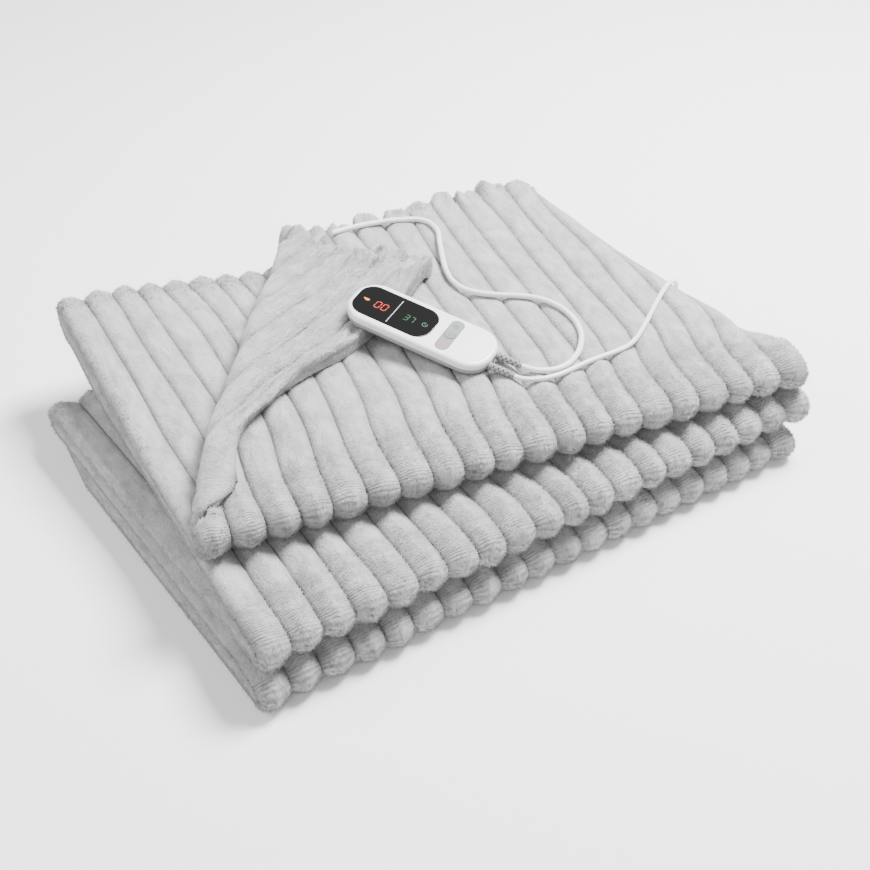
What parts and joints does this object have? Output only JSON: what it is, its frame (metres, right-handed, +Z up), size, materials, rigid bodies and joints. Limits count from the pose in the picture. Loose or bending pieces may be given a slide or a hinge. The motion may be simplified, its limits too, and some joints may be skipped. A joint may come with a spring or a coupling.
{
  "type": "folded electric heated blanket",
  "caption": "Folded plush electric blanket with ribbed channels, one corner turned back, a hand control with display and keys on top, its lead to the cloth and a coiled mains lead with plug.",
  "frame": {"origin": "on the floor under the middle of the folded pile", "axes": "+X to the right along the front rolls, +Y to the back along the ribs of the top layer, +Z up"},
  "size_m": [0.6959, 0.6453, 0.1447],
  "materials": {
    "plush": "short-pile plush, light grey",
    "shell_grey": "satin moulded plastic",
    "shell_white": "glossy moulded plastic",
    "lens": "glossy black window",
    "keys": "soft matt key membrane",
    "button": "satin key cap",
    "relief": "matt soft plastic",
    "cord": "smooth satin cord jacket",
    "tie": "plain tie",
    "plug": "moulded plug",
    "pins": "nickel-plated pins"
  },
  "bodies": {
    "blanket": {"blanket": "plush", "control_lower_shell": "shell_grey", "control_upper_shell": "shell_white", "display_lens": "lens", "key_strip": "keys", "relief_blanket_lead": "relief", "relief_mains_lead": "relief", "blanket_lead": "cord", "mains_lead": "cord", "mains_coil": "cord", "mains_tail": "cord", "coil_tie": "tie", "plug_body": "plug", "plug_pin_a": "pins", "plug_pin_b": "pins"},
    "power_button": {"power_button": "button"}
  },
  "joints": [
    {"name": "power_button_press", "type": "slide", "parent": "blanket", "child": "power_button", "axis": [0.0329, -0.1581, 0.9869], "range_m": [-0.0008, 0], "stiffness_N_per_m": 1500}
  ]
}
